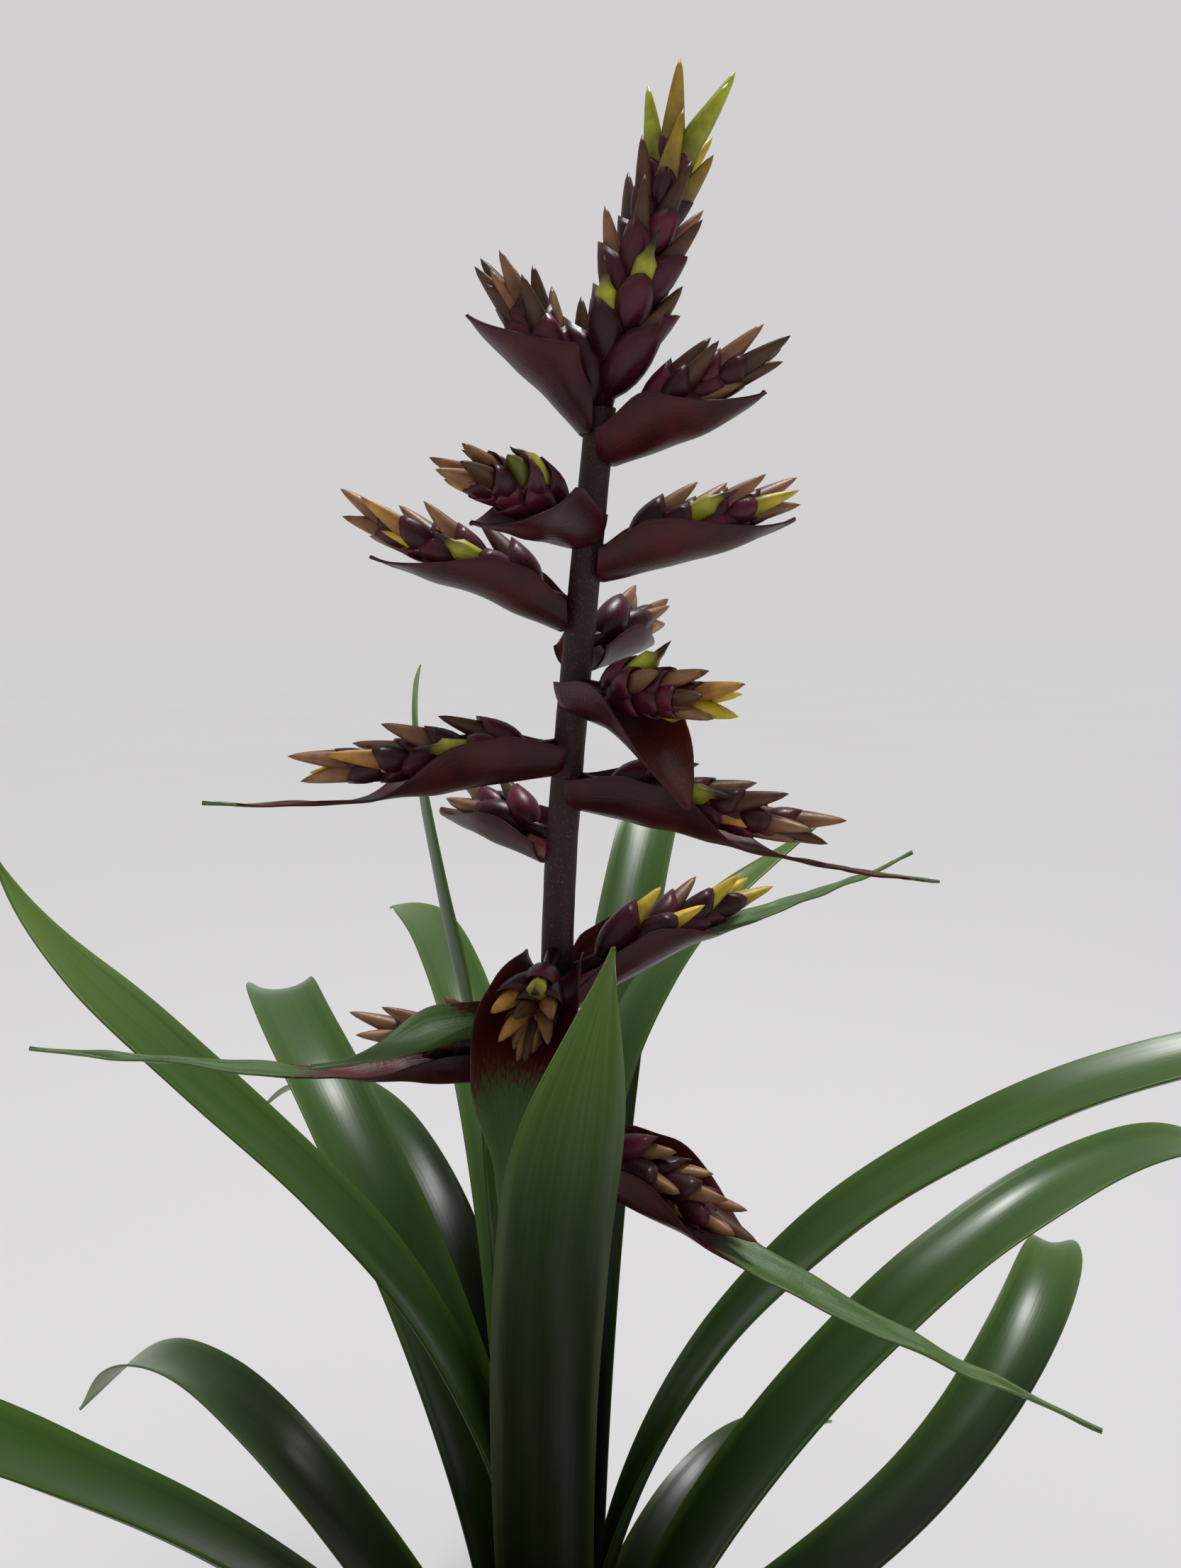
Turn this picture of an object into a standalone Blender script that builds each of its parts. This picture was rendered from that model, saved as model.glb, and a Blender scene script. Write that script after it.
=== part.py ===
"""Potted bromeliad: a rosette of strap leaves round one upright flower stem, in a plain plant pot.

Every leaf, every leafy bract, every cluster of flowers, the stem, the soil and the pot is its own
closed body. All sizes below are millimetres; MM turns them into metres. The pot stands on z = 0 and
the front of the plant faces -Y.
"""
import math

import bmesh
import bpy

MM = 0.001

# ---------------------------------------------------------------- driving dimensions
GAP = 0.3                # air left between two pieces that touch on the real plant
SHEET_LEAF = 0.9         # thickness of a strap leaf
SHEET_BRACT = 0.7        # thickness of a bract

POT_H = 128.0            # height of the pot
POT_TOP_D = 134.0        # outside of the pot body just under the rim
POT_BASE_D = 102.0       # outside of the pot at the floor
POT_WALL = 2.2           # wall and floor thickness
RIM_OUT = 3.0            # how far the rim band stands proud of the body
RIM_H = 15.0             # height of the rim band
EDGE_CUT = 1.4           # small bevels on the rim and the foot
FOOT_UP = 2.0            # step under the floor, so that the pot stands on a ring and its middle
FOOT_LAND = 2.0          # run of the slope of that step
DRAIN_D = 9.0            # drain holes in the floor
DRAIN_COUNT = 5
DRAIN_RING_D = 66.0      # circle the drain holes sit on
DRAIN_LAND = 4.0         # flat floor left beside the drain holes
DRAIN_SEG = 8
POT_SEG = 30

SOIL_BELOW = 10.0        # how far the soil lies under the rim of the pot
SOIL_TOP = POT_H - SOIL_BELOW
SOIL_FALL = 3.0          # how much lower the soil lies at the wall
SOIL_FLAT = 0.5          # share of its radius over which it lies flat
SOIL_KNEE = (0.86, 0.55) # shares of the radius and of the fall where it turns down to the wall
SOIL_DEPTH = 96.0        # depth of the soil

STEM_BASE_D = 12.4       # flower stem just above the soil
STEM_TOP_D = 9.4
STEM_TOP = SOIL_TOP + 461.0          # height where the stem ends under the top cluster
STEM_LEAN = 0.100                    # sideways lean of the upper stem, mm per mm
STEM_LEAN_FROM = SOIL_TOP + 312.0    # height where the lean sets in
STEM_LEAN_SOFT = 40.0                # length over which it sets in
STEM_SEG = 12
STEM_RINGS = 10

LEAF_W = 33.0            # widest part of a strap leaf
LEAF_TAPER = 66.0        # length of the pointed end
LEAF_POINT = 0.035       # share of the width left at the very tip
LEAF_CORNER = 6.0        # how sharply the sides turn in to the point
LEAF_COLUMNS = 2         # strips of faces across a leaf
ROLL_FROM = 0.3          # share of a leaf's length where its roll sets in
ROLL_RUN = 0.3           # share of the length over which it rolls
CHANNEL_R = 26.0         # radius of the shallow channel across an open leaf
SHEATH_RUN = 0.706       # share of the leaf's width squared that is its length of unrolling times radius
SHEATH = SHEATH_RUN * LEAF_W ** 2
SHEATH_WIDE = 1.5        # width of the rolled base for each mm of its radius

FLORET_L = 31.0          # one flower from its foot to the point of its petals
FLORET_D = 9.0           # the cup at its widest
FLORET_RINGS = ((0.0, 0.0), (0.26, 0.5), (0.52, 0.40), (1.0, 0.0))    # shares of length and width
FLORET_OPEN = 27.0       # angle between a flower and the axis of its cluster
FLORET_CLOSE = 0.5       # share of that angle lost by the last flower
FLORET_SHRINK = 0.12     # share of its size lost by the last flower
FLORET_LOW = 0.30        # share of that angle kept by the flowers that lie in the bract
LOW_FROM = -0.15         # height on the unit circle round the axis where a flower starts to stand off
LOW_RUN = 0.55           # run of that height over which it reaches its full angle
GOLDEN = 137.5           # turn from one flower to the next
FIRST_TURN = 90.0        # turn of the first flower: on top of the axis
TURN_SHIFT = 0.1         # how much each degree of a cluster's heading turns its first flower
RACHIS_D = 5.0           # axis of a cluster
RACHIS_TAPER = 0.6       # share of its thickness left at its end
RACHIS_STOP = 0.6        # how much of a flower's length it ends before the tips
FIRST_FLOWER = 7.0       # how far along it the first flower sits
LAST_FLOWER = 0.93       # how much of a flower's length the last one sits before the tips

BRACT_W = 44.0           # developed width of a bract where it is widest
BRACT_FOOT = 0.70        # share of that width where it clasps the stem
BRACT_BELLY = 16.0       # length over which it widens from the stem
BRACT_FULL = 0.36        # share of a short bract's length that keeps its full width
BOAT_L = 66.0            # length of the boat of a long bract, before its tail
BOAT_FULL = 24.0         # length of it that keeps its full width
BRACT_POINT = 0.03       # share of the width left at the very tip
BRACT_TAPER = 0.8        # power of its narrowing: below 1 the sides bulge
BRACT_COLUMNS = 6        # strips of faces across a bract
TROUGH_R = 9.4           # radius of the trough a bract makes round its cluster, at the stem
TROUGH_OPEN = 14.2       # the same where the bract is widest
TROUGH_RUN = 26.0        # length over which it opens
TAIL_FLAT = 16.0         # how much flatter the tail of a long bract is
TAIL_FROM = 40.0         # where it starts to flatten
TAIL_RUN = 40.0          # length over which it flattens
UPRIGHT = 80.0           # slope at which the sides of a trough go on straight
HUG = 20.0               # length over which a bract lets go of the stem
HUG_REACH = 2.6          # least distance of its edges in front of the stem's middle
CLASP = 1.12             # room round the stem for the foot of a bract

# ---------------------------------------------------------------- leaves
# name: foot radius beyond the surface of the stem, length, width factor, climb angles, headings, roll of the tip
# Climb is the angle above the level and heading the compass angle (0 = right, 90 = back, -90 = front);
# both run smoothly from the foot to the tip through the listed values.
LEAVES = [
    ("leaf_01", 8.2, 350, 1.00, (77, 76, 64, 62), (-96, -84, -69), 0),
    ("leaf_02", 8.4, 474, 0.90, (89, 60, 44, 14), (80, 76, 76), 0),
    ("leaf_03", 1.4, 480, 0.62, (89, 89, 30, 24), (126, 127, 90), 85),
    ("leaf_04", 12.8, 442, 0.90, (84, 54, 22, -16), (104, 105, 116), 0),
    ("leaf_05", 4.0, 397, 0.60, (80, 111, 8, 29), (89, 75, 24), 0),
    ("leaf_06", 3.6, 383, 0.92, (89, 89, 0, 62), (184, 178, 165), 0),
    ("leaf_07", 5.6, 440, 1.00, (89, 67, 18, 2), (-6, -9, -1), 0),
    ("leaf_08", 10.8, 440, 1.05, (87, 60, 20, -50), (149, 136, 90), 0),
    ("leaf_09", 14.8, 382, 0.80, (80, 52, 0, -36), (113, 120, 136), 0),
    ("leaf_10", 16.4, 431, 1.00, (73, 34, 24, -48), (12, 22, 36), 0),
    ("leaf_11", 22.3, 322, 0.90, (50, 5, 22, 86, -90), (5, 25, 84), 0),
    ("leaf_12", 19.2, 440, 1.00, (62, 48, 38, 8), (214, 209, 204), 0),
    ("leaf_13", 20.8, 320, 0.80, (51, 50, -46, -46), (167, 125, 144), 0),
    ("leaf_14", 12.8, 400, 1.00, (70, 46, 16, -34), (-50, -54, -60), 0),
    ("leaf_15", 15.7, 410, 1.00, (68, 46, 14, -36), (-114, -116, -120), 0),
    ("leaf_16", 22.4, 380, 0.95, (56, 36, 2, -44), (-86, -88, -84), 0),
    ("leaf_17", 18.6, 370, 0.95, (60, 34, 2, -46), (-26, -30, -36), 0),
    ("leaf_18", 20.0, 174, 0.80, (60, 28, -16, -30), (50, 46, 40), 0),
    ("leaf_19", 17.6, 330, 0.85, (66, 44, 4, -42), (92, 93, 96), 0),
]
LEAF_STATIONS = 14
STEPS_BETWEEN = 8        # small steps that trace a strip from one station to the next

# ---------------------------------------------------------------- bracts and their flower clusters
# name, height above the soil, heading, climb angles of the bract, length, width factor, tail width,
# climb of the cluster, length of the cluster, flowers in it, lift of the cluster over the bract
SPRAYS = [
    ("02", 460, 185, (48, 43, 42, 46), 48, 1.00, 0, 56, 53, 12, 2.0),
    ("03", 453, -15, (16, 14, 24, 40), 50, 1.00, 0, 23, 59, 12, 0.3),
    ("04", 428, -128, (6, 0, 4, 10), 46, 1.00, 0, 8, 63, 13, 0),
    ("05", 402, 172, (24, 20, 20, 20), 66, 1.00, 0, 22, 82, 14, 0.5),
    ("06", 418, 10, (12, 12, 18, 30), 66, 1.00, 0, 16, 70, 14, 0),
    ("07", 390, 62, (10, 10, 10, 10), 46, 0.90, 0, 8, 60, 10, 0),
    ("08", 376, -48, (-12, -14, -34, -56), 52, 1.00, 0, -4, 64, 14, 0),
    ("09", 357, 194, (-6, -8, -4, 8), 105, 1.00, 8, -5, 82, 14, 0),
    ("10", 328, 132, (10, 8, 10, 12), 62, 0.90, 0, 6, 60, 10, 0),
    ("11", 346, -15, (-10, -12, -12, -2), 111, 1.00, 8, -11, 84, 14, 0),
    ("12", 279, 24, (26, 18, 0, 22), 144, 0.95, 17, 16, 78, 12, 4),
    ("13", 290, -101, (-14, -40, -66, -74), 92, 0.90, 25, -24, 46, 13, 0),
    ("14", 256, 188, (2, 8, 8, 10), 158, 0.85, 16, 10, 64, 9, 0),
    ("15", 226, -30, (-12, -14, -12, -8), 166, 1.00, 20, -14, 68, 13, 0),
    ("16", 274, 212, (12, -6, 0, 2), 76, 0.55, 17, 0, 0, 0, 0),
]
BRACT_STATIONS = 8
TOP_LEAN = 17.0          # lean of the top cluster from upright
TOP_LEN = 100.0          # length of the top cluster
TOP_COUNT = 26
TOP_AXIS_D = 8.0         # the thicker axis of the top cluster
TOP_FIRST = 4.0          # how far along it the first flower sits
TOP_TURN = 84.0          # turn of its first flower


# ---------------------------------------------------------------- shape rules
def through(values, t):
    """Smooth run through a list of values, t from 0 to 1."""
    work = list(values)
    while len(work) > 1:
        work = [a + (b - a) * t for a, b in zip(work, work[1:])]
    return work[0]


def ease(x):
    x = min(1.0, max(0.0, x))
    return x * x * (3.0 - 2.0 * x)


def stem_x(z):
    rise = z - STEM_LEAN_FROM
    return STEM_LEAN * (math.hypot(rise, STEM_LEAN_SOFT) + rise) / 2.0


def stem_r(z):
    t = min(1.0, max(0.0, (z - SOIL_TOP) / (STEM_TOP - SOIL_TOP)))
    return (STEM_BASE_D + (STEM_TOP_D - STEM_BASE_D) * t) / 2.0


def collar(z):
    """Distance from the stem axis at which the foot of a bract hugs the stem."""
    return CLASP * (stem_r(z) + SHEET_BRACT / 2.0 + GAP)


def directions(climb, heading):
    """Ahead, side and up of a strip that climbs and heads by these angles in degrees."""
    e, a = math.radians(climb), math.radians(heading)
    ahead = (math.cos(e) * math.cos(a), math.cos(e) * math.sin(a), math.sin(e))
    side = (-math.sin(a), math.cos(a), 0.0)
    up = (-math.sin(e) * math.cos(a), -math.sin(e) * math.sin(a), math.cos(e))
    return ahead, side, up


def frames(start, climbs, headings, length, stations):
    """Points along a strip with its forward, side and upward directions."""
    out = []
    here = list(start)
    step = length / (STEPS_BETWEEN * stations)
    for k in range(stations + 1):
        t = k / stations
        out.append((tuple(here), *directions(through(climbs, t), through(headings, t))))
        for j in range(STEPS_BETWEEN):
            mid = t + (j + 0.5) / (STEPS_BETWEEN * stations)
            ahead = directions(through(climbs, mid), through(headings, mid))[0]
            here = [p + step * f for p, f in zip(here, ahead)]
    return out


def bent(radius, offset):
    """Sideways and upward place of a point at a distance from the middle line of a bent strip."""
    arc = min(abs(offset) / radius, math.radians(UPRIGHT))
    rest = abs(offset) - arc * radius
    s = radius * math.sin(arc) + rest * math.cos(arc)
    n = radius * (1.0 - math.cos(arc)) + rest * math.sin(arc)
    return math.copysign(s, offset), n


def placed(frame, s, n, roll, shift):
    """Point of a strip from its place across it, rolled and shifted ahead."""
    here, ahead, side, up = frame
    c, d = math.cos(roll), math.sin(roll)
    s, n = s * c - n * d, s * d + n * c
    return tuple(p + s * b + n * u + shift * f for p, b, u, f in zip(here, side, up, ahead))


def leaf_foot(out):
    """Radius on which the foot of a leaf stands round the stem."""
    return STEM_BASE_D / 2.0 + out


def leaf_line(leaf, stations):
    name, out, length, wide, climbs, headings, roll = leaf
    foot = leaf_foot(out)
    a = math.radians(headings[0])
    low = SOIL_TOP + GAP + SHEET_LEAF / 2.0 * math.cos(math.radians(climbs[0]))
    return frames((foot * math.cos(a), foot * math.sin(a), low), climbs, headings, length, stations)


def leaf_point(leaf, line, u, t):
    name, out, length, wide, climbs, headings, roll = leaf
    foot = leaf_foot(out)
    along = t * length
    q = (length - along) / LEAF_TAPER
    tip = max(LEAF_POINT, q / (1.0 + q ** LEAF_CORNER) ** (1.0 / LEAF_CORNER))
    rolled = 1.0 - ease(along * foot / SHEATH)
    sheath_w = min(LEAF_W * wide, SHEATH_WIDE * foot)
    width = (sheath_w * rolled + LEAF_W * wide * (1.0 - rolled)) * tip
    bend = rolled / foot + (1.0 - rolled) / CHANNEL_R
    turn = math.radians(roll) * ease((t - ROLL_FROM) / ROLL_RUN)
    s, n = bent(1.0 / bend, u * width / 2.0)
    return placed(line[round(t * (len(line) - 1))], s, n, turn, 0.0)


def bract_line(spray, stations):
    name, up, heading, climbs, length, *rest = spray
    z = SOIL_TOP + up
    a = math.radians(heading)
    low = z - TROUGH_R * math.cos(math.radians(climbs[0]))
    start = (stem_x(low) + collar(z) * math.cos(a), collar(z) * math.sin(a), low)
    return frames(start, climbs, (heading, heading), length, stations)


def bract_width(length, wide, tail, along):
    """Developed width of a bract at a distance from the stem."""
    foot = BRACT_FOOT + (1.0 - BRACT_FOOT) * ease(along / BRACT_BELLY)
    if tail:
        boat = BRACT_W * wide * foot * (1.0 - ease((along - BOAT_FULL) / (BOAT_L - BOAT_FULL)))
        q = min(1.0, (length - along) / (length - BOAT_L * 0.5))
        return boat + tail * (BRACT_POINT + (1.0 - BRACT_POINT) * q * ease(along / BOAT_L))
    full = BRACT_FULL * length
    q = min(1.0, (length - along) / (length - full))
    return BRACT_W * wide * foot * max(BRACT_POINT, q ** BRACT_TAPER)


def bract_point(spray, line, u, t):
    name, up, heading, climbs, length, wide, tail, *rest = spray
    along = t * length
    width = bract_width(length, wide, tail, along)
    trough = TROUGH_R + (TROUGH_OPEN - TROUGH_R) * ease(along / TROUGH_RUN)
    if tail:
        trough += TAIL_FLAT * ease((along - TAIL_FROM) / TAIL_RUN)
    s, n = bent(trough, u * width / 2.0)
    e = math.radians(climbs[0])
    ring = collar(SOIL_TOP + up)
    reach = math.sqrt(max(HUG_REACH ** 2, ring * ring - s * s))
    shift = (reach + n * math.sin(e) - ring) / math.cos(e) * (1.0 - ease(along / HUG))
    return placed(line[round(t * (len(line) - 1))], s, n, 0.0, shift)


def florets(count, length, start, low_side, first_turn):
    """Place along the axis, turn round it, lean from it and size of the flowers of a cluster."""
    out = []
    for i in range(count):
        t = i / (count - 1)
        s = start + (length - FLORET_L * LAST_FLOWER - start) * t
        turn = math.radians(GOLDEN * i + first_turn)
        lean = FLORET_OPEN * (1.0 - FLORET_CLOSE * t * t)
        if low_side:
            lean *= FLORET_LOW + (1.0 - FLORET_LOW) * ease((math.sin(turn) - LOW_FROM) / LOW_RUN)
        out.append((s, turn, math.radians(lean), 1.0 - FLORET_SHRINK * t))
    return out


# ---------------------------------------------------------------- building
def empty_scene():
    for ob in list(bpy.data.objects):
        bpy.data.objects.remove(ob, do_unlink=True)
    for me in list(bpy.data.meshes):
        bpy.data.meshes.remove(me)


def collection(name):
    coll = bpy.data.collections.new(name)
    bpy.context.scene.collection.children.link(coll)
    return coll


def material(name, color, rough):
    mat = bpy.data.materials.new(name)
    mat.use_nodes = True
    bsdf = mat.node_tree.nodes["Principled BSDF"]
    bsdf.inputs["Base Color"].default_value = (*color, 1.0)
    bsdf.inputs["Roughness"].default_value = rough
    mat.diffuse_color = (*color, 1.0)
    return mat


def add(coll, name, bm, mat, smooth=True):
    me = bpy.data.meshes.new(name)
    bm.to_mesh(me)
    bm.free()
    ob = bpy.data.objects.new(name, me)
    coll.objects.link(ob)
    me.materials.append(mat)
    for face in me.polygons:
        face.use_smooth = smooth
    return ob


def add_cutter(coll, name, bm, mat):
    ob = add(coll, name, bm, mat, smooth=False)
    ob.hide_render = True
    ob.display_type = 'WIRE'
    return ob


def boolean(ob, name, other, operation):
    mod = ob.modifiers.new(name, 'BOOLEAN')
    mod.operation = operation
    mod.solver = 'EXACT'
    mod.object = other


def strip(coll, name, mat, stations, columns, thick, point):
    """A grid shaped by a rule, then given its thickness."""
    bm = bmesh.new()
    bmesh.ops.create_grid(bm, x_segments=columns, y_segments=stations, size=1.0)
    for v in bm.verts:
        u, t = v.co.x, (v.co.y + 1.0) / 2.0
        v.co = [c * MM for c in point(u, t)]
    ob = add(coll, name, bm, mat)
    mod = ob.modifiers.new("thickness", 'SOLIDIFY')
    mod.thickness = thick * MM
    mod.offset = 0.0


def turned(coll, name, mat, profile):
    """Solid of revolution about Z from an outline of (radius, height) that starts and ends on Z."""
    bm = bmesh.new()
    points = [bm.verts.new((r * MM, 0.0, z * MM)) for r, z in profile]
    for pair in zip(points, points[1:]):
        bm.edges.new(pair)
    ob = add(coll, name, bm, mat)
    mod = ob.modifiers.new("turn", 'SCREW')
    mod.axis = 'Z'
    mod.angle = 2.0 * math.pi
    mod.steps = POT_SEG
    mod.render_steps = POT_SEG
    mod.use_merge_vertices = True
    mod.merge_threshold = 1e-5
    mod.use_normal_calculate = True
    return ob


def pot_radius(z, inside=0.0):
    slope = (POT_TOP_D - POT_BASE_D) / 2.0 / (POT_H - RIM_H)
    return POT_BASE_D / 2.0 + slope * min(z, POT_H - RIM_H) - inside


def build_pot(coll, cuts, mat):
    base = POT_BASE_D / 2.0
    floor = FOOT_UP + POT_WALL
    under = POT_H - RIM_H
    rim_r = pot_radius(POT_H) + RIM_OUT
    mouth = pot_radius(POT_H, POT_WALL)
    foot_in = (DRAIN_RING_D + DRAIN_D) / 2.0 + DRAIN_LAND
    pad_out = (DRAIN_RING_D - DRAIN_D) / 2.0 - DRAIN_LAND
    profile = [
        (0.0, 0.0), (pad_out - FOOT_LAND, 0.0), (pad_out, FOOT_UP),
        (foot_in, FOOT_UP), (foot_in + FOOT_LAND, 0.0),
        (base - EDGE_CUT, 0.0), (base, EDGE_CUT), (pot_radius(under), under),
        (rim_r - EDGE_CUT / 2.0, under), (rim_r, under + EDGE_CUT / 2.0), (rim_r, POT_H - EDGE_CUT),
        (rim_r - EDGE_CUT, POT_H), (mouth + EDGE_CUT, POT_H), (mouth, POT_H - EDGE_CUT),
        (pot_radius(under, POT_WALL), under), (pot_radius(floor, POT_WALL), floor), (0.0, floor),
    ]
    ob = turned(coll, "pot", mat, profile)
    for i in range(DRAIN_COUNT):
        a = 2.0 * math.pi / DRAIN_COUNT * (i + 0.5)
        bm = bmesh.new()
        bmesh.ops.create_cone(bm, cap_ends=True, segments=DRAIN_SEG, radius1=DRAIN_D / 2.0 * MM,
                              radius2=DRAIN_D / 2.0 * MM, depth=3.0 * floor * MM)
        ring = DRAIN_RING_D / 2.0 * MM
        bmesh.ops.translate(bm, vec=(ring * math.cos(a), ring * math.sin(a), 0.0), verts=bm.verts)
        drain = "drain_%d" % (i + 1)
        boolean(ob, drain, add_cutter(cuts, "cut_" + drain, bm, mat), 'DIFFERENCE')


def build_soil(coll, mat):
    low = SOIL_TOP - SOIL_DEPTH
    edge = SOIL_TOP - SOIL_FALL
    rim = pot_radius(edge, POT_WALL + GAP)
    profile = [(0.0, low), (pot_radius(low, POT_WALL + GAP), low), (rim, edge),
               (rim * SOIL_KNEE[0], SOIL_TOP - SOIL_FALL * SOIL_KNEE[1]),
               (rim * SOIL_FLAT, SOIL_TOP), (0.0, SOIL_TOP)]
    turned(coll, "soil", mat, profile)


def build_stem(coll, mat):
    bm = bmesh.new()
    low = SOIL_TOP + GAP
    bmesh.ops.create_cone(bm, cap_ends=True, segments=STEM_SEG, radius1=1.0, radius2=1.0, depth=2.0)
    sides = [e for e in bm.edges if abs(e.verts[0].co.z - e.verts[1].co.z) > 1.0]
    bmesh.ops.subdivide_edges(bm, edges=sides, cuts=STEM_RINGS - 1, use_grid_fill=False)
    for v in bm.verts:
        z = low + (STEM_TOP - low) * (v.co.z + 1.0) / 2.0
        r = stem_r(z)
        v.co = ((v.co.x * r + stem_x(z)) * MM, v.co.y * r * MM, z * MM)
    add(coll, "stem", bm, mat)


def spindle(frame, turn, lean, size):
    """One flower: a cup that swells and then runs out to a point. Its frame is foot, axis, side, up."""
    foot, axis, side, up = frame
    cy, cz = math.cos(turn), math.sin(turn)
    rad = [b * cy + u * cz for b, u in zip(side, up)]
    way = [f * math.cos(lean) + r * math.sin(lean) for f, r in zip(axis, rad)]
    one = [b * cz - u * cy for b, u in zip(side, up)]
    two = [r * math.cos(lean) - f * math.sin(lean) for f, r in zip(axis, rad)]
    bm = bmesh.new()
    bmesh.ops.create_uvsphere(bm, u_segments=5, v_segments=3, radius=1.0)
    levels = sorted({round(v.co.z, 4) for v in bm.verts})
    for v in bm.verts:
        along, r = FLORET_RINGS[levels.index(round(v.co.z, 4))]
        a = math.atan2(v.co.y, v.co.x)
        d = FLORET_L * size * along
        w = FLORET_D * size * r
        v.co = [(p + f * d + (p1 * math.cos(a) + p2 * math.sin(a)) * w) * MM
                for p, f, p1, p2 in zip(foot, way, one, two)]
    bmesh.ops.recalc_face_normals(bm, faces=bm.faces)
    return bm


def build_cluster(coll, cuts, name, frame, flowers, length, thick, mat):
    """Axis of the cluster joined with its flowers into one body."""
    foot, axis, side, up = frame
    bm = bmesh.new()
    bmesh.ops.create_cone(bm, cap_ends=True, segments=6, radius1=thick * 0.5,
                          radius2=thick * 0.5 * RACHIS_TAPER, depth=1.0)
    for v in bm.verts:
        d = (v.co.z + 0.5) * (length - FLORET_L * RACHIS_STOP)
        v.co = [(p + f * d + b * v.co.x + u * v.co.y) * MM for p, f, b, u in zip(foot, axis, side, up)]
    ob = add(coll, name, bm, mat)
    for k, (s, turn, lean, size) in enumerate(flowers):
        at = [p + f * s for p, f in zip(foot, axis)]
        flower = "flower_%02d" % (k + 1)
        bm = spindle((at, axis, side, up), turn, lean, size)
        boolean(ob, flower, add_cutter(cuts, "%s_%s" % (name, flower), bm, mat), 'UNION')


def build_spray(coll, cuts, spray, bract_mat, flower_mat):
    """A bract and the cluster of flowers that lies in it."""
    name, rise, heading, climbs, length, wide, tail, climb, head_len, count, lift = spray
    line = bract_line(spray, BRACT_STATIONS)
    strip(coll, "bract_" + name, bract_mat, BRACT_STATIONS, BRACT_COLUMNS, SHEET_BRACT,
          lambda u, t: bract_point(spray, line, u, t))
    if not count:
        return
    a, e = math.radians(heading), math.radians(climb)
    z = SOIL_TOP + rise + lift
    r = stem_r(z) + 2.0 * GAP + RACHIS_D / 2.0 * abs(math.sin(e))
    foot = (stem_x(z) + r * math.cos(a), r * math.sin(a), z)
    flowers = florets(count, head_len, FIRST_FLOWER, True, FIRST_TURN + TURN_SHIFT * heading)
    build_cluster(coll, cuts, "flower_head_" + name, (foot, *directions(climb, heading)), flowers,
                  head_len, RACHIS_D, flower_mat)


def main():
    empty_scene()
    plant = collection("potted_bromeliad")
    cuts = collection("cutters")
    green = material("leaf_green", (0.03, 0.12, 0.02), 0.35)
    maroon = material("bract_maroon", (0.07, 0.01, 0.012), 0.4)
    flower = material("flower_maroon", (0.10, 0.02, 0.03), 0.45)
    bark = material("stem_brown", (0.05, 0.02, 0.015), 0.7)
    earth = material("soil_brown", (0.03, 0.02, 0.012), 0.95)
    plastic = material("pot_plastic", (0.02, 0.02, 0.02), 0.5)

    build_pot(plant, cuts, plastic)
    build_soil(plant, earth)
    build_stem(plant, bark)
    for leaf in LEAVES:
        line = leaf_line(leaf, LEAF_STATIONS)
        strip(plant, leaf[0], green, LEAF_STATIONS, LEAF_COLUMNS, SHEET_LEAF,
              lambda u, t, leaf=leaf, line=line: leaf_point(leaf, line, u, t))
    for spray in SPRAYS:
        build_spray(plant, cuts, spray, maroon, flower)
    low = 2.0 * GAP + TOP_AXIS_D / 2.0 * math.sin(math.radians(TOP_LEAN))
    top = ((stem_x(STEM_TOP), 0.0, STEM_TOP + low), *directions(90.0 - TOP_LEAN, 0.0))
    build_cluster(plant, cuts, "flower_head_01", top,
                  florets(TOP_COUNT, TOP_LEN, TOP_FIRST, False, TOP_TURN), TOP_LEN, TOP_AXIS_D, flower)


main()
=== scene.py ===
# %% [markdown]
# # A potted bromeliad
# A rosette of strap leaves stands in a plain plant pot. One flower stem rises from its middle and
# carries boat-shaped bracts, and in each bract lies a cluster of purple cups with pointed petals.
# The frame already holds every leaf, bract and cluster as a coarse solid. This lesson gives each of
# them a finer twin in the same place, and then its colour, gloss and bump.

# %% The frame
import math
import random

import bmesh
import bpy
from mathutils import Matrix, Vector, noise


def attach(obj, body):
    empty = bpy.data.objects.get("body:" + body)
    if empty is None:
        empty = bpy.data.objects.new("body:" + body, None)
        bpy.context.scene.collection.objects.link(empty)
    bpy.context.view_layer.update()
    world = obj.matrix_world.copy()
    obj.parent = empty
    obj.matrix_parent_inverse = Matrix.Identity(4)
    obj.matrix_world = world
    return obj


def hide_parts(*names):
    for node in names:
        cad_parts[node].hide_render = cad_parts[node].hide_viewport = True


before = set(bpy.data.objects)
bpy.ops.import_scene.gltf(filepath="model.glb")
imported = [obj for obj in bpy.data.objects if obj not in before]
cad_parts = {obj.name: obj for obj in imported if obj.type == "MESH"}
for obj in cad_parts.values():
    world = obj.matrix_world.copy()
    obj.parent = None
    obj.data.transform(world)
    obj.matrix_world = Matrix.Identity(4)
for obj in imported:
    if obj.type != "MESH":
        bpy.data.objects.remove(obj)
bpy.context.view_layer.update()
MM = 0.001
FULL_TURN = 2.0 * math.pi
chance = random.Random(11)

# %% [markdown]
# ## Design sizes
# The frame was drawn in millimetres from a few sizes and rules, and the fine pieces follow the same
# ones, so that they lie exactly where the coarse solids lie. A strip of plant, leaf or bract, is a
# line with a climb and a heading that change smoothly, and a width that is bent across that line.

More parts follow.
